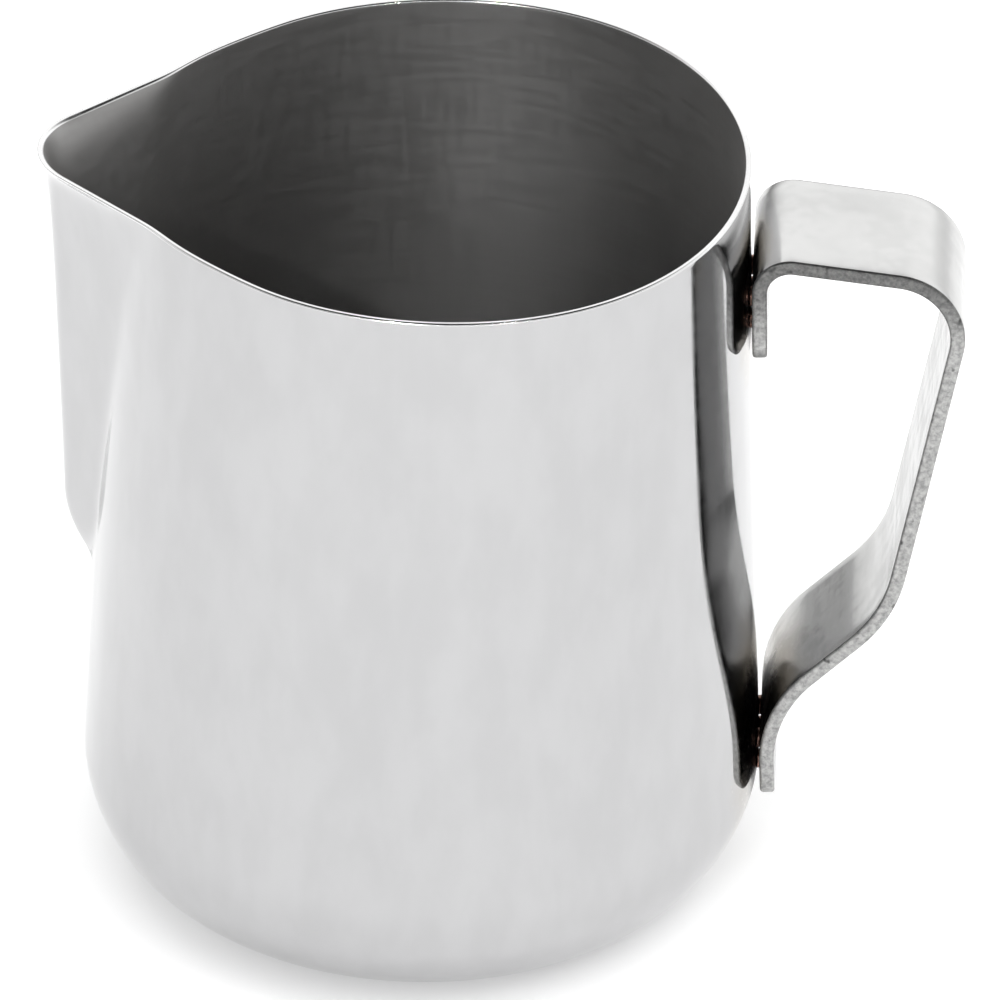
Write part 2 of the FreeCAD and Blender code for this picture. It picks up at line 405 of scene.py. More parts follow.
@dataclass
class Graph:
    """A node tree being filled in, with short calls for the nodes used here."""

    tree: bpy.types.NodeTree

    def add(self, kind: str, inputs: dict | None = None, **settings: object) -> bpy.types.Node:
        """Adds a node.

        Args:
            kind: the node's type name, such as ShaderNodeMath.
            inputs: values or sockets for its inputs, by name or number.
            **settings: properties to set on the node.

        Returns:
            The new node.
        """
        node = self.tree.nodes.new(kind)
        for name, value in settings.items():
            setattr(node, name, value)
        for name, value in (inputs or {}).items():
            self.feed(node, name, value)
        return node

    def feed(self, node: bpy.types.Node, name: str | int, value: object) -> None:
        """Gives an input a value, or links a socket to it.

        Args:
            node: the node.
            name: the input's name or number.
            value: a value or a socket.
        """
        if isinstance(value, bpy.types.NodeSocket):
            self.tree.links.new(value, node.inputs[name])
        else:
            node.inputs[name].default_value = value

    def math(
        self, operation: str, a: object, b: object = 0.0, clamp: bool = False
    ) -> bpy.types.NodeSocket:
        """Result of a two-number sum.

        Args:
            operation: the kind of sum, such as ADD.
            a: first number or socket.
            b: second number or socket.
            clamp: whether the result is kept between 0 and 1.

        Returns:
            The output socket.
        """
        node = self.add("ShaderNodeMath", {0: a, 1: b}, operation=operation, use_clamp=clamp)
        return node.outputs[0]

    def ramp(
        self, value: object, low: object, high: object, to_low: float = 0.0, to_high: float = 1.0
    ) -> bpy.types.NodeSocket:
        """Smooth change from to_low to to_high as value goes from low to high.

        Args:
            value: the number or socket that changes.
            low: value where the change starts.
            high: value where it ends.
            to_low: result at the start.
            to_high: result at the end.

        Returns:
            The output socket.
        """
        inputs = {"Value": value, "From Min": low, "From Max": high, "To Min": to_low, "To Max": to_high}
        node = self.add("ShaderNodeMapRange", inputs, interpolation_type="SMOOTHSTEP")
        return node.outputs["Result"]

    def noise(
        self, place: object, scale: object, detail: float = 2.0, roughness: float = 0.5
    ) -> bpy.types.NodeSocket:
        """Value of a cloudy noise.

        Args:
            place: position socket.
            scale: how many clouds to a metre.
            detail: how many finer layers.
            roughness: how strong the finer layers are.

        Returns:
            The output socket.
        """
        inputs = {"Vector": place, "Scale": scale, "Detail": detail, "Roughness": roughness}
        return self.add("ShaderNodeTexNoise", inputs).outputs["Fac"]

    def stretch(self, place: object, factors: tuple[float, float, float]) -> bpy.types.NodeSocket:
        """A position, stretched along the axes.

        Args:
            place: position socket.
            factors: factor along each axis.

        Returns:
            The output socket.
        """
        node = self.add("ShaderNodeVectorMath", {0: place, 1: factors}, operation="MULTIPLY")
        return node.outputs[0]

    def relief(self, height: object, strength: float, depth: float) -> bpy.types.NodeSocket:
        """Normal of a fine relief.

        Args:
            height: height socket, from 0 to 1.
            strength: how much of the relief shows.
            depth: distance between the heights 0 and 1.

        Returns:
            The output socket.
        """
        inputs = {"Strength": strength, "Distance": depth, "Height": height}
        return self.add("ShaderNodeBump", inputs).outputs["Normal"]

    def blend(self, share: object, a: object, b: object) -> bpy.types.NodeSocket:
        """Colour between a and b.

        Args:
            share: 0 for a, 1 for b.
            a: first colour or socket.
            b: second colour or socket.

        Returns:
            The output socket.
        """
        node = self.add("ShaderNodeMix", data_type="RGBA")
        self.feed(node, 0, share)
        self.feed(node, 6, a)
        self.feed(node, 7, b)
        return node.outputs[2]


class GroupBook:
    """The shared shader groups, each built once and then placed where it is needed."""

    def __init__(self) -> None:
        """Starts with no groups."""
        self._made: dict[str, bpy.types.NodeTree] = {}

    def _open(
        self, name: str, ins: dict[str, Socket], outs: dict[str, Socket]
    ) -> tuple[Graph, bpy.types.Node, bpy.types.Node]:
        """Makes an empty group with named sockets.

        Args:
            name: the group's name.
            ins: its inputs and their kinds.
            outs: its outputs and their kinds.

        Returns:
            The graph, its input node and its output node.
        """
        tree = bpy.data.node_groups.new(name, "ShaderNodeTree")
        for label, kind in ins.items():
            tree.interface.new_socket(name=label, in_out="INPUT", socket_type=kind.value)
        for label, kind in outs.items():
            tree.interface.new_socket(name=label, in_out="OUTPUT", socket_type=kind.value)
        graph = Graph(tree)
        return graph, graph.add("NodeGroupInput"), graph.add("NodeGroupOutput")

    def _keep(self, name: str, build: Callable[[str], bpy.types.NodeTree]) -> bpy.types.NodeTree:
        """Returns the named group, building it the first time.

        Args:
            name: the group's name.
            build: fills the group in and returns its tree.

        Returns:
            The group's tree.
        """
        if name not in self._made:
            self._made[name] = build(name)
        return self._made[name]

    def polishing_marks(self) -> bpy.types.NodeTree:
        """Cloudy smears and fine scratches that a buffing wheel leaves.

        Returns:
            The group's tree.
        """
        def build(name: str) -> bpy.types.NodeTree:
            """Fills the group in.

            Args:
                name: the group's name.

            Returns:
                The group's tree.
            """
            ins = {"Position": Socket.VECTOR, "Smear Scale": Socket.VALUE, "Scratch Scale": Socket.VALUE}
            outs = {"Smear": Socket.VALUE, "Scratch": Socket.VALUE, "Height": Socket.VALUE}
            g, given, result = self._open(name, ins, outs)
            place = given.outputs["Position"]
            long_way = g.stretch(place, (1.0, 1.0, 0.45))
            cloud = g.noise(long_way, given.outputs["Smear Scale"], 3.0, 0.55)
            level = g.stretch(place, (0.12, 0.12, 1.0))
            streak = g.noise(level, given.outputs["Scratch Scale"], 3.0, 0.6)
            upright = g.stretch(place, (1.0, 1.0, 0.12))
            brush = g.noise(upright, given.outputs["Scratch Scale"], 2.0, 0.6)
            g.feed(result, "Smear", g.ramp(cloud, 0.3, 0.7))
            fine = g.math("ADD", g.math("MULTIPLY", streak, 0.6), g.math("MULTIPLY", brush, 0.4))
            g.feed(result, "Scratch", g.ramp(fine, 0.35, 0.65))
            relief = g.math("ADD", g.math("MULTIPLY", fine, 0.7), g.math("MULTIPLY", cloud, 0.3))
            g.feed(result, "Height", relief)
            return g.tree

        return self._keep("polishing_marks", build)

    def grit(self) -> bpy.types.NodeTree:
        """Fine even grain of a tumbled or blasted surface, with scattered pits.

        Returns:
            The group's tree.
        """
        def build(name: str) -> bpy.types.NodeTree:
            """Fills the group in.

            Args:
                name: the group's name.

            Returns:
                The group's tree.
            """
            ins = {"Position": Socket.VECTOR, "Grain Scale": Socket.VALUE}
            ins |= {"Pit Scale": Socket.VALUE, "Pit Share": Socket.VALUE}
            outs = {"Grain": Socket.VALUE, "Pits": Socket.VALUE, "Height": Socket.VALUE}
            g, given, result = self._open(name, ins, outs)
            place = given.outputs["Position"]
            grain = g.noise(place, given.outputs["Grain Scale"], 4.0, 0.7)
            spots = g.noise(place, given.outputs["Pit Scale"], 1.0, 0.4)
            edge = g.math("SUBTRACT", 0.78, g.math("MULTIPLY", given.outputs["Pit Share"], 0.3))
            pits = g.math("MULTIPLY", g.math("SUBTRACT", spots, edge), 9.0, clamp=True)
            g.feed(result, "Grain", g.ramp(grain, 0.25, 0.75))
            g.feed(result, "Pits", pits)
            g.feed(result, "Height", g.math("SUBTRACT", g.math("MULTIPLY", grain, 0.5), pits))
            return g.tree

        return self._keep("grit", build)

    def heat_tint_and_gap_shade(self) -> bpy.types.NodeTree:
        """Scorched patch round a weld, with a ragged edge and specks of spatter; its near-black core is
        partly heat tint and partly painted shade for the gap behind the tab.

        Returns:
            The group's tree.
        """
        def build(name: str) -> bpy.types.NodeTree:
            """Fills the group in.

            Args:
                name: the group's name.

            Returns:
                The group's tree.
            """
            ins = {"Position": Socket.VECTOR, "Centre": Socket.VECTOR}
            ins |= {"Core": Socket.VALUE, "Reach": Socket.VALUE}
            outs = {"Scorch And Gap Shade": Socket.VALUE, "Halo": Socket.VALUE, "Spatter": Socket.VALUE}
            g, given, result = self._open(name, ins, outs)
            place = given.outputs["Position"]
            ends = {0: place, 1: given.outputs["Centre"]}
            offset = g.add("ShaderNodeVectorMath", ends, operation="DISTANCE")
            ragged = g.noise(place, 320.0, 4.0, 0.65)
            wander = g.math("MULTIPLY", g.math("SUBTRACT", ragged, 0.5), 0.006)
            distance = g.math("ADD", offset.outputs["Value"], wander)
            core = given.outputs["Core"]
            reach = given.outputs["Reach"]
            scorch_and_gap_shade = g.ramp(distance, core, reach, 1.0, 0.0)
            wide = g.math("MULTIPLY", reach, 1.6)
            halo = g.ramp(distance, reach, wide, 1.0, 0.0)
            dots = g.add("ShaderNodeTexVoronoi", {"Vector": place, "Scale": 1100.0}, feature="F1")
            speck = g.ramp(dots.outputs["Distance"], 0.16, 0.26, 1.0, 0.0)
            rare = g.ramp(g.noise(place, 900.0, 1.0, 0.5), 0.5, 0.6)
            heated = g.math("MAXIMUM", halo, scorch_and_gap_shade)
            spatter = g.math("MULTIPLY", g.math("MULTIPLY", speck, rare), heated)
            g.feed(result, "Scorch And Gap Shade", scorch_and_gap_shade)
            g.feed(result, "Halo", halo)
            g.feed(result, "Spatter", spatter)
            return g.tree

        return self._keep("heat_tint_and_gap_shade", build)


# ---------------------------------------------------------------------------
# Finishes
# ---------------------------------------------------------------------------
@dataclass(frozen=True)
class Weld:
    """Where a weld is, and how far its heat tint and the painted gap shade round it reach."""

    centre: Vector
    core: float
    reach: float


@dataclass(frozen=True)
class SteelFinish:
    """A stainless surface: how bright, how smooth, and what marks it carries."""

    name: str
    colour: Colour
    roughness: float
    roughness_spread: float
    smear: float
    smear_scale: float
    scratch_scale: float
    bump: float
    welds: tuple[Weld, ...] = ()
    turned: float = 0.0

    def build(self, groups: GroupBook) -> bpy.types.Material:
        """Makes the material.

        Args:
            groups: the shared shader groups.

        Returns:
            A material with varying colour, roughness and fine relief.
        """
        material = bpy.data.materials.new(self.name)
        material.use_nodes = True
        g = Graph(material.node_tree)
        shader = material.node_tree.nodes["Principled BSDF"]
        shader.inputs["Metallic"].default_value = 1.0
        if self.turned > 0.0:
            shader.inputs["Anisotropic"].default_value = self.turned
            shader.inputs["Anisotropic Rotation"].default_value = 0.25
            around = g.add("ShaderNodeTangent", direction_type="RADIAL", axis="Z")
            g.feed(shader, "Tangent", around.outputs["Tangent"])
        place = g.add("ShaderNodeTexCoord").outputs["Object"]
        marks = g.add("ShaderNodeGroup", node_tree=groups.polishing_marks())
        g.feed(marks, "Position", place)
        g.feed(marks, "Smear Scale", self.smear_scale)
        g.feed(marks, "Scratch Scale", self.scratch_scale)
        dull = tuple(c * (1.0 - self.smear) for c in self.colour)
        colour = g.blend(marks.outputs["Smear"], (*dull, 1.0), (*self.colour, 1.0))
        roughest = self.roughness + self.roughness_spread
        rough = g.ramp(marks.outputs["Scratch"], 0.0, 1.0, self.roughness, roughest)
        for weld in self.welds:
            colour, rough = self._heat_tint_and_gap_shade(g, groups, place, weld, colour, rough)
        g.feed(shader, "Base Color", colour)
        g.feed(shader, "Roughness", rough)
        g.feed(shader, "Normal", g.relief(marks.outputs["Height"], self.bump, 0.2 * MM))
        return material

    def _heat_tint_and_gap_shade(
        self, g: Graph, groups: GroupBook, place: object, weld: Weld, colour: object, rough: object
    ) -> tuple[object, object]:
        """Adds the heat tint of one weld, and the painted shade in the gap round it.

        Args:
            g: the material's graph.
            groups: the shared shader groups.
            place: the position socket.
            weld: the weld.
            colour: colour so far.
            rough: roughness so far.

        Returns:
            The new colour and roughness.
        """
        tint = g.add("ShaderNodeGroup", node_tree=groups.heat_tint_and_gap_shade())
        g.feed(tint, "Position", place)
        g.feed(tint, "Centre", tuple(weld.centre))
        g.feed(tint, "Core", weld.core)
        g.feed(tint, "Reach", weld.reach)
        straw = g.math("MULTIPLY", tint.outputs["Halo"], 0.45)
        colour = g.blend(straw, colour, (*STRAW, 1.0))
        # painted shade: the near-black core darkens the tab and the wall where they face each other
        # across the gap, over the real heat tint
        colour = g.blend(tint.outputs["Scorch And Gap Shade"], colour, (*SCORCH_AND_GAP_SHADE, 1.0))
        speck = g.math("MULTIPLY", tint.outputs["Spatter"], 0.8)
        colour = g.blend(speck, colour, (*SPATTER, 1.0))
        rougher = g.math("MULTIPLY", tint.outputs["Scorch And Gap Shade"], 0.3)
        return colour, g.math("ADD", rough, rougher)


@dataclass(frozen=True)
class ShearedEdgeFinish:
    """Cut edge of thick strip: dull, grained and pitted, with a darker copy of its colour near the top
    as painted shade.
    """

    name: str
    bright: Colour = (0.52, 0.52, 0.51)
    dark: Colour = (0.27, 0.27, 0.27)
    pit: Colour = (0.04, 0.04, 0.04)
    # darker copy of the edge colour, and the heights where it takes over: painted shade near the top of
    # the strap
    painted_shade_bright: Colour = (0.22, 0.22, 0.215)
    painted_shade_dark: Colour = (0.11, 0.11, 0.11)
    painted_shade_from: float = 84.0 * MM
    painted_shade_above: float = 94.0 * MM
    roughness: float = 0.42

    def build(self, groups: GroupBook) -> bpy.types.Material:
        """Makes the material from the shared groups.

        Args:
            groups: the shared shader groups.

        Returns:
            A material with varying colour, roughness and fine relief.
        """
        material = bpy.data.materials.new(self.name)
        material.use_nodes = True
        g = Graph(material.node_tree)
        shader = material.node_tree.nodes["Principled BSDF"]
        shader.inputs["Metallic"].default_value = 1.0
        place = g.add("ShaderNodeTexCoord").outputs["Object"]
        grit = g.add("ShaderNodeGroup", node_tree=groups.grit())
        g.feed(grit, "Position", place)
        g.feed(grit, "Grain Scale", 1400.0)
        g.feed(grit, "Pit Scale", 800.0)
        g.feed(grit, "Pit Share", 0.35)
        edge_grain_colour = g.blend(grit.outputs["Grain"], (*self.dark, 1.0), (*self.bright, 1.0))
        dull = g.blend(grit.outputs["Grain"], (*self.painted_shade_dark, 1.0), (*self.painted_shade_bright, 1.0))
        up = g.add("ShaderNodeSeparateXYZ", {0: place}).outputs["Z"]
        # painted shade: above these heights the edge takes the darker copy of its colour, so the top of
        # the strap looks shaded
        colour = g.blend(g.ramp(up, self.painted_shade_from, self.painted_shade_above), edge_grain_colour, dull)
        colour = g.blend(g.math("MULTIPLY", grit.outputs["Pits"], 0.8), colour, (*self.pit, 1.0))
        g.feed(shader, "Base Color", colour)
        rough = g.ramp(grit.outputs["Grain"], 0.0, 1.0, self.roughness + 0.14, self.roughness)
        g.feed(shader, "Roughness", rough)
        g.feed(shader, "Normal", g.relief(grit.outputs["Height"], 0.35, 0.1 * MM))
        return material


@dataclass(frozen=True)
class WeldMetalFinish:
    """Upset weld metal: coppery where it is thin with oxide, dark in its hollows."""

    name: str
    copper: Colour = (0.50, 0.28, 0.22)
    dark: Colour = (0.08, 0.065, 0.06)

    def build(self, groups: GroupBook) -> bpy.types.Material:
        """Makes the material from the shared groups.

        Args:
            groups: the shared shader groups.

        Returns:
            A material with varying colour, roughness and fine relief.
        """
        material = bpy.data.materials.new(self.name)
        material.use_nodes = True
        g = Graph(material.node_tree)
        shader = material.node_tree.nodes["Principled BSDF"]
        shader.inputs["Metallic"].default_value = 1.0
        place = g.add("ShaderNodeTexCoord").outputs["Object"]
        grit = g.add("ShaderNodeGroup", node_tree=groups.grit())
        g.feed(grit, "Position", place)
        g.feed(grit, "Grain Scale", 1800.0)
        g.feed(grit, "Pit Scale", 900.0)
        g.feed(grit, "Pit Share", 0.5)
        colour = g.blend(grit.outputs["Grain"], (*self.dark, 1.0), (*self.copper, 1.0))
        g.feed(shader, "Base Color", colour)
        g.feed(shader, "Roughness", g.ramp(grit.outputs["Grain"], 0.0, 1.0, 0.5, 0.22))
        g.feed(shader, "Normal", g.relief(grit.outputs["Height"], 0.6, 0.2 * MM))
        return material


# ---------------------------------------------------------------------------
# Mesh building
# ---------------------------------------------------------------------------
class MeshBook:
    """Vertices and faces gathered for one piece, with a finish number per face."""

    def __init__(self, name: str) -> None:
        """Starts an empty mesh.

        Args:
            name: name of the piece.
        """
        self.name = name
        self.points: list[Vector] = []
        self.faces: list[tuple[int, ...]] = []
        self.finishes: list[int] = []

    def ring(self, points: list[Vector]) -> list[int]:
        """Adds a row of points and returns their numbers.

        Args:
            points: the points.

        Returns:
            Their numbers.
        """
        first = len(self.points)
        self.points += points
        return list(range(first, first + len(points)))

    def bridge(self, a: list[int], b: list[int], finish: int, closed: bool = True) -> None:
        """Joins two rows of the same length with four-sided faces.

        Args:
            a: numbers of the first row's points.
            b: numbers of the second row's points.
            finish: finish number of the new faces.
            closed: whether the rows go all the way round.
        """
        count = len(a) if closed else len(a) - 1
        for i in range(count):
            j = (i + 1) % len(a)
            self.faces.append((a[i], a[j], b[j], b[i]))
            self.finishes.append(finish)

    def cap(self, ring: list[int], centre: Vector, finish: int, flip: bool = False) -> None:
        """Closes a ring with a fan of triangles about a point.

        Args:
            ring: numbers of the ring's points.
            centre: the point.
            finish: finish number of the new faces.
            flip: whether the faces look the other way.
        """
        middle = self.ring([centre])[0]
        for i in range(len(ring)):
            j = (i + 1) % len(ring)
            face = (ring[i], ring[j], middle)
            self.faces.append(face[::-1] if flip else face)
            self.finishes.append(finish)

    def make(self, materials: list[bpy.types.Material]) -> bpy.types.Object:
        """Makes the object, smooth shaded.

        Args:
            materials: one material for each finish number.

        Returns:
            The new object, linked to the scene.
        """
        mesh = bpy.data.meshes.new(self.name)
        mesh.from_pydata([tuple(p) for p in self.points], [], self.faces)
        for material in materials:
            mesh.materials.append(material)
        mesh.polygons.foreach_set("material_index", self.finishes)
        mesh.polygons.foreach_set("use_smooth", [True] * len(self.faces))
        mesh.validate()
        mesh.update()
        piece = bpy.data.objects.new(self.name, mesh)
        bpy.context.scene.collection.objects.link(piece)
        return piece


# ---------------------------------------------------------------------------
# Sub-assemblies
# ---------------------------------------------------------------------------
@dataclass
class BodyShell:
    """The drawn body: outside, inside and the broken edge of its rim."""

    shape: WallShape
    outside: SteelFinish
    inside: SteelFinish
    rim: SteelFinish
    half_steps: int = 132
    wall_rows: int = 84
    rim_break: float = 0.26 * MM

    def angles(self) -> list[float]:
        """Angles round the body, closer together at the spout.

        Returns:
            The angles, rising, with none twice.
        """
        half = []
        for i in range(self.half_steps + 1):
            share = i / self.half_steps
            half.append(math.pi * (0.42 * share + 0.58 * share**3))
        return [-a for a in reversed(half[1:])] + half[:-1]

    def heights(self) -> list[float]:
        """Heights of the wall's rows from the rim down, closer near the lip.

        Returns:
            The heights, falling.
        """
        top = self.shape.height - self.rim_break
        foot = self.shape.wall_foot
        rows = []
        for i in range(self.wall_rows):
            share = i / self.wall_rows
            rows.append(top - (top - foot) * (0.45 * share + 0.55 * share**1.8))
        return rows

    def build(self, groups: GroupBook) -> bpy.types.Object:
        """Builds and dresses the shell.

        Args:
            groups: the shared shader groups.

        Returns:
            The piece that stands for the body.
        """
        book = MeshBook("pitcher_shell")
        angles = self.angles()
        wall = self.shape.wall
        rows = self.heights()
        outer = [book.ring([self.shape.point(z, a, 0.0) for a in angles]) for z in rows]
        inner = [book.ring([self.shape.point(z, a, wall) for a in angles]) for z in rows]
        for finish, side in ((0, outer), (1, inner)):
            inset = wall * finish
            for r, z in self.shape.base_line(inset):
                side.append(book.ring([Vector((-r * math.cos(a), -r * math.sin(a), z)) for a in angles]))
            centre = Vector((0.0, 0.0, inset + self.shape.floor_rise))
            for a, b in zip(side, side[1:]):
                pair = (a, b) if finish == 0 else (b, a)
                book.bridge(*pair, finish)
            book.cap(side[-1], centre, finish, flip=finish == 1)
        self._close_rim(book, angles, outer[0], inner[0])
        materials = [f.build(groups) for f in (self.outside, self.inside, self.rim)]
        piece = book.make(materials)
        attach(piece, "root")
        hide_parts("pitcher_body")
        return piece

    def _close_rim(
        self, book: MeshBook, angles: list[float], outer: list[int], inner: list[int]
    ) -> None:
        """Joins the two sides over the rim with a softly broken edge.

        Args:
            book: mesh of the body.
            angles: angles of the columns.
            outer: top row of the outside.
            inner: top row of the inside.
        """
        wall = self.shape.wall
        brk = self.rim_break
        last = inner
        turns = [math.radians(a) for a in (20.0, 45.0, 70.0, 90.0)]
        stations = [(wall - brk * (1.0 - math.cos(t)), brk * math.sin(t)) for t in turns]
        stations += [(brk * (1.0 - math.cos(t)), brk * math.sin(t)) for t in reversed(turns)]
        base = self.shape.height - brk
        for inset, rise in stations:
            row = book.ring([self.shape.point(base + rise, a, inset) for a in angles])
            book.bridge(last, row, 2)
            last = row
        book.bridge(last, outer, 2)


@dataclass
class StrapHandle:
    """The bent strap: two polished faces, the underside one coloured darker as painted shade, and a dull
    sheared edge all round.
    """

    shape: StrapShape
    face: SteelFinish
    painted_shade_underside: SteelFinish
    edge: ShearedEdgeFinish
    columns: int = 14

    def _half_width(self, s: float, total: float, inset: float) -> float:
        """Half the strip's width at a length along it, inside its rounded end corners.

        Args:
            s: length along the strip.
            total: the strip's whole length.
            inset: how far in from its edge.

        Returns:
            Half the width.
        """
        corner = self.shape.tab_corner - inset
        half = self.shape.width / 2.0 - inset
        from_end = min(s, total - s)
        if from_end >= corner:
            return half
        gap = corner - from_end
        return half - corner + math.sqrt(max(0.0, corner * corner - gap * gap))

    def build(self, groups: GroupBook) -> bpy.types.Object:
        """Builds and dresses the strap.

        Args:
            groups: the shared shader groups.

        Returns:
            The piece that stands for the strap.
        """
        book = MeshBook("strap_handle")
        bends = self.shape.bends()
        total = bends[-1].start + bends[-1].length
        marks = self.shape.stations()
        brk = self.shape.edge_break
        thick = self.shape.thickness
        cuts = [math.radians(a) for a in (0.0, 22.5, 45.0, 67.5, 90.0)]
        profile = [(brk * (1.0 - math.sin(t)), brk * (1.0 - math.cos(t))) for t in cuts]
        layers = profile + [(0.0, thick / 2.0)] + [(i, thick - d) for i, d in reversed(profile)]

        def place(s: float, y: float, depth: float) -> Vector:
            """A point of the flat strip, bent into place.

            Args:
                s: length along the strip.
                y: distance across from its middle.
                depth: distance into it from its outer face.

            Returns:
                The point.
            """
            bend = next((b for b in bends if s <= b.start + b.length), bends[-1])
            point, into = bend.at(s)
            return point + into * depth + Vector((0.0, y, 0.0))

        def grid(inset: float, depth: float) -> list[list[int]]:
            """One face of the strip as rows of point numbers.

            Args:
                inset: how far in from the edge.
                depth: distance in from the outer face.

            Returns:
                The rows.
            """
            rows = []
            for s in marks:
                inner = inset + (total - 2.0 * inset) * s / total
                half = self._half_width(inner - inset, total - 2.0 * inset, inset)
                ys = [half * (2.0 * k / self.columns - 1.0) for k in range(self.columns + 1)]
                rows.append(book.ring([place(inner, y, depth) for y in ys]))
            return rows

        def loop(rows: list[list[int]]) -> list[int]:
            """The numbers round the edge of a grid.

            Args:
                rows: rows of point numbers.

            Returns:
                The numbers, once round.
            """
            right = [row[-1] for row in rows[1:-1]]
            left = [row[0] for row in reversed(rows[1:-1])]
            return rows[0] + right + list(reversed(rows[-1])) + left

        def outline(inset: float, depth: float) -> list[int]:
            """A loop of points round the strip, with no face inside it.

            Args:
                inset: how far in from the edge.
                depth: distance in from the outer face.

            Returns:
                The numbers, once round.
            """
            first = len(book.points)
            rows = grid(inset, depth)
            keep = loop(rows)
            ring = [book.points[i] for i in keep]
            del book.points[first:]
            return book.ring(ring)

        outer = grid(*layers[0])
        inner = grid(*layers[-1])
        for a, b in zip(outer, outer[1:]):
            book.bridge(b, a, 0, closed=False)
        for a, b in zip(inner, inner[1:]):
            book.bridge(a, b, 2, closed=False)
        last = loop(outer)
        for inset, depth in layers[1:-1]:
            ring = outline(inset, depth)
            book.bridge(last, ring, 1)
            last = ring
        book.bridge(last, loop(inner), 1)
        piece = book.make([f.build(groups) for f in (self.face, self.edge, self.painted_shade_underside)])
        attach(piece, "root")
        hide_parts("handle_strap")
        return piece


@dataclass
class WeldBeads:
    """Four small beads of upset metal that show in the gap behind a tab."""

    name: str
    node: str
    finish: WeldMetalFinish
    shape: WallShape
    seed: int
    radius: float = 1.3 * MM
    bulge: float = 1.25
    lumpiness: float = 0.06
    rows: int = 7
    steps: int = 28

    def build(self, groups: GroupBook) -> bpy.types.Object:
        """Builds the beads through the gap that the node's nuggets fill.

        Args:
            groups: the shared shader groups.

        Returns:
            The piece that stands for the nuggets.
        """
        low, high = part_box(self.node)
        book = MeshBook(self.name)
        draw = random.Random(self.seed)
        for z in (high.z - self.radius, low.z + self.radius):
            for y in (low.y + self.radius, high.y - self.radius):
                wall = math.sqrt(self.shape.round_radius(z) ** 2 - y * y)
                self._bead(book, draw, Vector((max(low.x, wall - 0.15 * MM), y, z)), high.x)
        piece = book.make([self.finish.build(groups)])
        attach(piece, "root")
        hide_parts(self.node)
        return piece

    def _bead(self, book: MeshBook, draw: random.Random, start: Vector, end: float) -> None:
        """Adds one lumpy bead that runs outwards along X.

        Args:
            book: mesh of the piece.
            draw: source of the bead's lumps.
            start: middle of the bead's end at the wall.
            end: distance from the axis of its end at the tab.
        """
        rings = []
        for row in range(self.rows + 1):
            share = row / self.rows
            swell = self.radius * (1.0 - (1.0 - 1.0 / self.bulge) * (2.0 * share - 1.0) ** 2)
            points = []
            for k in range(self.steps):
                turn = 2.0 * math.pi * k / self.steps
                reach = min(self.radius, swell * (1.0 + self.lumpiness * draw.uniform(-1.0, 1.0)))
                out = Vector(((end - start.x) * share, reach * math.cos(turn), reach * math.sin(turn)))
                points.append(start + out)
            rings.append(book.ring(points))
        for a, b in zip(rings, rings[1:]):
            book.bridge(a, b, 0)
        book.cap(rings[0], start, 0, flip=True)
        book.cap(rings[-1], Vector((end, start.y, start.z)), 0)


# ---------------------------------------------------------------------------
# Studio
# ---------------------------------------------------------------------------
@dataclass(frozen=True)
class SoftBox:
    """A soft lamp: where it is, where it points, and what it lights."""

    name: str
    place: Vector
    aim: Vector
    size: tuple[float, float]
    power: float
    seen_in_steel: bool

    def build(self) -> bpy.types.Object:
        """Makes the lamp.

        Returns:
            The lamp, placed and aimed.
        """
        lamp = bpy.data.lights.new(self.name, "AREA")
        lamp.shape = "RECTANGLE"
        lamp.size, lamp.size_y = self.size
        lamp.energy = self.power
        holder = bpy.data.objects.new(self.name, lamp)
        bpy.context.scene.collection.objects.link(holder)
        holder.location = self.place
        holder.rotation_mode = "QUATERNION"
        holder.rotation_quaternion = (self.aim - self.place).to_track_quat("-Z", "Y")
        holder.visible_glossy = self.seen_in_steel
        holder.visible_camera = False
        return holder


@dataclass(frozen=True)
class Snoot:
    """A narrow soft-edged lamp that puts a patch of light on one place."""

    name: str
    place: Vector
    aim: Vector
    cone: float
    power: float

    def build(self) -> bpy.types.Object:
        """Makes the lamp.

        Returns:
            The lamp, placed and aimed.
        """
        lamp = bpy.data.lights.new(self.name, "SPOT")
        lamp.energy = self.power
        lamp.spot_size = math.radians(self.cone)
        lamp.spot_blend = 1.0
        lamp.shadow_soft_size = 0.06
        holder = bpy.data.objects.new(self.name, lamp)
        bpy.context.scene.collection.objects.link(holder)
        holder.location = self.place
        holder.rotation_mode = "QUATERNION"
        holder.rotation_quaternion = (self.aim - self.place).to_track_quat("-Z", "Y")
        return holder


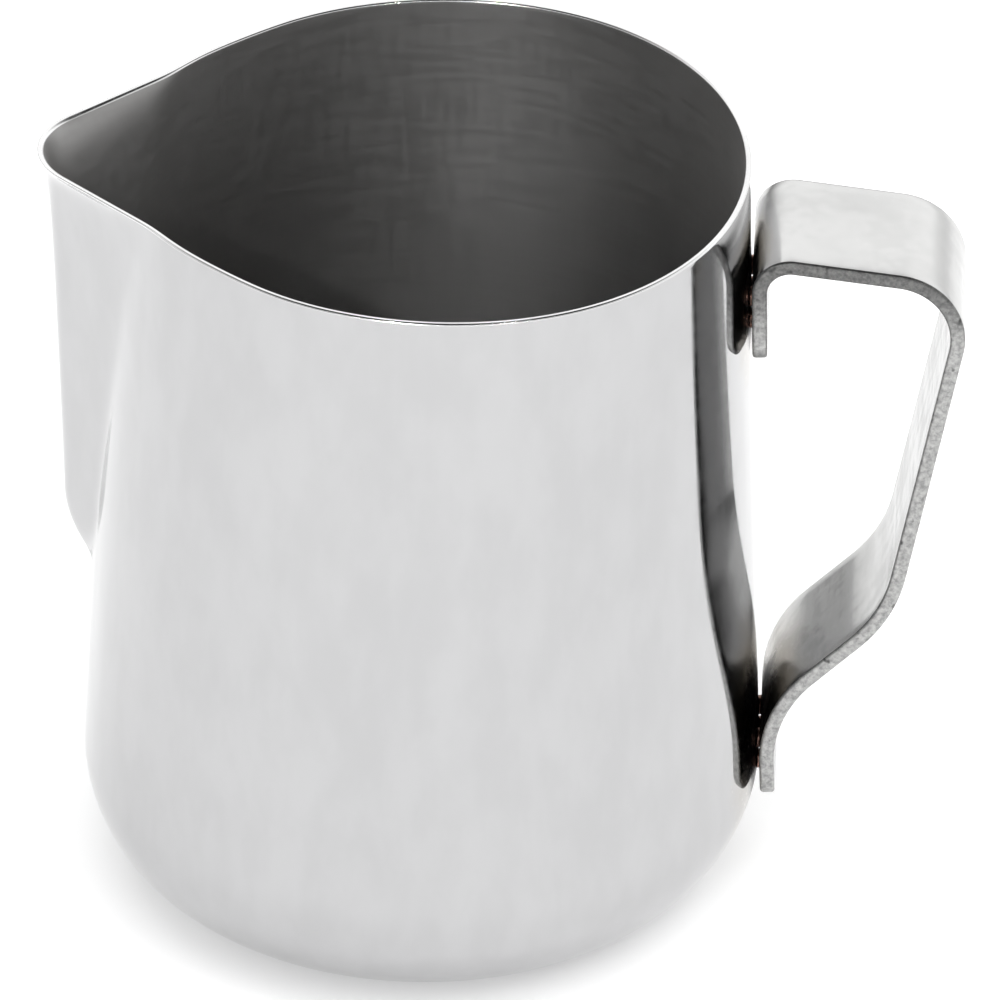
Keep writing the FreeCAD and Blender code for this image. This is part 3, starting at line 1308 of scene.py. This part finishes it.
@dataclass
class Studio:
    """Plain pale floor, soft lamps, a pale surround and the camera."""

    height: float
    floor_size: float = 8.0
    floor_glow: float = 0.22
    stand_off: float = 1.5410
    side: float = 0.0534
    camera_height: float = 0.8859
    heading: float = -1.6243
    tilt: float = 31.278
    roll: float = 0.871
    lens: float = 504.0

    def build(self) -> None:
        """Sets up everything that is not part of the pitcher."""
        self._floor()
        self._surround()
        above = Vector((0.0, 0.0, self.height / 2.0))
        boxes = (
            SoftBox("overhead_softbox", Vector((0.3, -0.6, 2.2)), above, (2.6, 2.6), 54.0, False),
            SoftBox("fill_softbox", Vector((-0.9, -1.8, 0.6)), above, (1.6, 0.6), 9.0, False),
            SoftBox("key_softbox", Vector((-0.42, -1.75, 0.80)), above, (0.30, 0.30), 4.0, True),
        )
        high_patch = Vector((1.5, 41.0, 92.0)) * MM
        low_patch = Vector((-19.0, 36.0, 72.0)) * MM
        snoots = (
            Snoot("high_snoot", Vector((-0.45, -1.30, 1.05)), high_patch, 1.9, 400.0),
            Snoot("low_snoot", Vector((0.50, -1.10, 1.10)), low_patch, 1.6, 200.0),
        )
        for lamp in (*boxes, *snoots):
            lamp.build()
        self._camera()
        bpy.context.scene.view_settings.view_transform = "Standard"

    def _floor(self) -> None:
        """Makes the floor."""
        half = self.floor_size / 2.0
        mesh = bpy.data.meshes.new("studio_floor")
        corners = [(-half, -half, 0.0), (half, -half, 0.0), (half, half, 0.0), (-half, half, 0.0)]
        mesh.from_pydata(corners, [], [(0, 1, 2, 3)])
        material = bpy.data.materials.new("pale_floor")
        material.use_nodes = True
        g = Graph(material.node_tree)
        shader = material.node_tree.nodes["Principled BSDF"]
        shader.inputs["Roughness"].default_value = 0.9
        shader.inputs["Specular IOR Level"].default_value = 0.0
        place = g.add("ShaderNodeTexCoord").outputs["Object"]
        faint = g.ramp(g.noise(place, 6.0), 0.3, 0.7)
        g.feed(shader, "Base Color", g.blend(faint, (0.93, 0.93, 0.93, 1.0), (0.95, 0.95, 0.95, 1.0)))
        shader.inputs["Emission Color"].default_value = (1.0, 1.0, 1.0, 1.0)
        shader.inputs["Emission Strength"].default_value = self.floor_glow
        mesh.materials.append(material)
        floor = bpy.data.objects.new("studio_floor", mesh)
        bpy.context.scene.collection.objects.link(floor)

    def _surround(self) -> None:
        """Makes the pale surround: bright low down, dark overhead."""
        world = bpy.data.worlds.new("studio_surround")
        world.use_nodes = True
        bpy.context.scene.world = world
        g = Graph(world.node_tree)
        direction = g.add("ShaderNodeTexCoord").outputs["Generated"]
        parts = g.add("ShaderNodeSeparateXYZ", {0: direction})
        horizon = g.ramp(parts.outputs["X"], -0.45, 0.45, 0.36, 1.0)
        sky = g.ramp(parts.outputs["Z"], 0.05, 0.42)
        raised = g.math("ADD", sky, horizon)
        capped = g.math("MINIMUM", raised, 1.45)
        overhead = g.ramp(parts.outputs["Z"], 0.58, 0.80, 1.0, 0.02)
        behind = g.ramp(parts.outputs["Y"], -0.35, 0.35, 0.55, 1.0)
        level = g.math("MULTIPLY", g.math("MULTIPLY", capped, overhead), behind)
        ground = g.math("LESS_THAN", parts.outputs["Z"], 0.0)
        level = g.math("MAXIMUM", level, ground)
        background = world.node_tree.nodes["Background"]
        g.feed(background, "Color", level)
        background.inputs["Strength"].default_value = 1.0

    def _camera(self) -> None:
        """Makes the camera."""
        data = bpy.data.cameras.new("camera")
        data.lens = self.lens
        data.sensor_width = 36.0
        data.clip_start, data.clip_end = 0.05, 100.0
        camera = bpy.data.objects.new("camera", data)
        bpy.context.scene.collection.objects.link(camera)
        turn, tilt, roll = (math.radians(a) for a in (self.heading, self.tilt, self.roll))
        flat = math.cos(tilt)
        ahead = Vector((math.sin(turn) * flat, math.cos(turn) * flat, -math.sin(tilt)))
        level = Vector((math.cos(turn), -math.sin(turn), 0.0))
        upward = level.cross(ahead)
        right = level * math.cos(roll) + upward * math.sin(roll)
        top = upward * math.cos(roll) - level * math.sin(roll)
        axes = Matrix((right, top, -ahead)).transposed()
        camera.matrix_world = axes.to_4x4()
        camera.location = Vector((self.side, -self.stand_off, self.camera_height + self.height))
        bpy.context.scene.camera = camera


# ---------------------------------------------------------------------------
# Whole pitcher
# ---------------------------------------------------------------------------
def weld_of(node: str, core: float, reach: float) -> Weld:
    """The weld in the middle of a nugget node.

    Args:
        node: name of the node.
        core: radius that is fully darkened, partly heat tint and partly painted shade.
        reach: radius where the darkening has faded.

    Returns:
        The weld.
    """
    low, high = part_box(node)
    return Weld((low + high) / 2.0, core, reach)


def main() -> None:
    """Builds the sub-assemblies in order and reports each piece."""
    logging.basicConfig(level=logging.INFO, format="%(name)s: %(message)s")
    groups = GroupBook()
    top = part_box("pitcher_body")[1].z
    shape = WallShape(height=top)
    upper = weld_of("upper_weld_nuggets", 4.5 * MM, 8.5 * MM)
    upper_on_strap = weld_of("upper_weld_nuggets", 3.5 * MM, 6.5 * MM)
    lower = weld_of("lower_weld_nuggets", 6.5 * MM, 11.5 * MM)
    body = BodyShell(
        shape=shape,
        outside=SteelFinish(
            name="polished_outside",
            colour=(0.485, 0.485, 0.49),
            roughness=0.05,
            roughness_spread=0.05,
            smear=0.05,
            smear_scale=180.0,
            scratch_scale=420.0,
            bump=0.04,
            welds=(upper, lower),
        ),
        inside=SteelFinish(
            name="satin_inside",
            colour=(0.40, 0.395, 0.39),
            roughness=0.46,
            roughness_spread=0.05,
            smear=0.04,
            smear_scale=30.0,
            scratch_scale=1200.0,
            bump=0.03,
            welds=(),
            turned=0.35,
        ),
        rim=SteelFinish(
            name="rim_edge",
            colour=(0.74, 0.74, 0.74),
            roughness=0.14,
            roughness_spread=0.08,
            smear=0.10,
            smear_scale=90.0,
            scratch_scale=900.0,
            bump=0.05,
        ),
    )
    handle = StrapHandle(
        shape=StrapShape(wall=shape),
        face=SteelFinish(
            name="strap_face",
            colour=(0.57, 0.57, 0.565),
            roughness=0.16,
            roughness_spread=0.10,
            smear=0.10,
            smear_scale=60.0,
            scratch_scale=500.0,
            bump=0.08,
            welds=(upper_on_strap,),
        ),
        painted_shade_underside=SteelFinish(
            name="strap_underside_painted_shade",
            # darker than strap_face on the same polished strip: painted shade on the underside and on
            # the grip's inner face
            colour=(0.40, 0.40, 0.395),
            roughness=0.14,
            roughness_spread=0.10,
            smear=0.12,
            smear_scale=60.0,
            scratch_scale=500.0,
            bump=0.08,
            welds=(lower,),
        ),
        edge=ShearedEdgeFinish("strap_sheared_edge"),
    )
    metal = WeldMetalFinish("weld_metal")
    beads = (
        WeldBeads("upper_weld_beads", "upper_weld_nuggets", metal, shape, 11),
        WeldBeads("lower_weld_beads", "lower_weld_nuggets", metal, shape, 23),
    )
    for assembly in (body, handle, *beads):
        piece = assembly.build(groups)
        mesh = piece.data
        LOG.info("%s: %d faces, %d finishes", piece.name, len(mesh.polygons), len(mesh.materials))
    Studio(height=top).build()


if __name__ == "__main__":
    main()
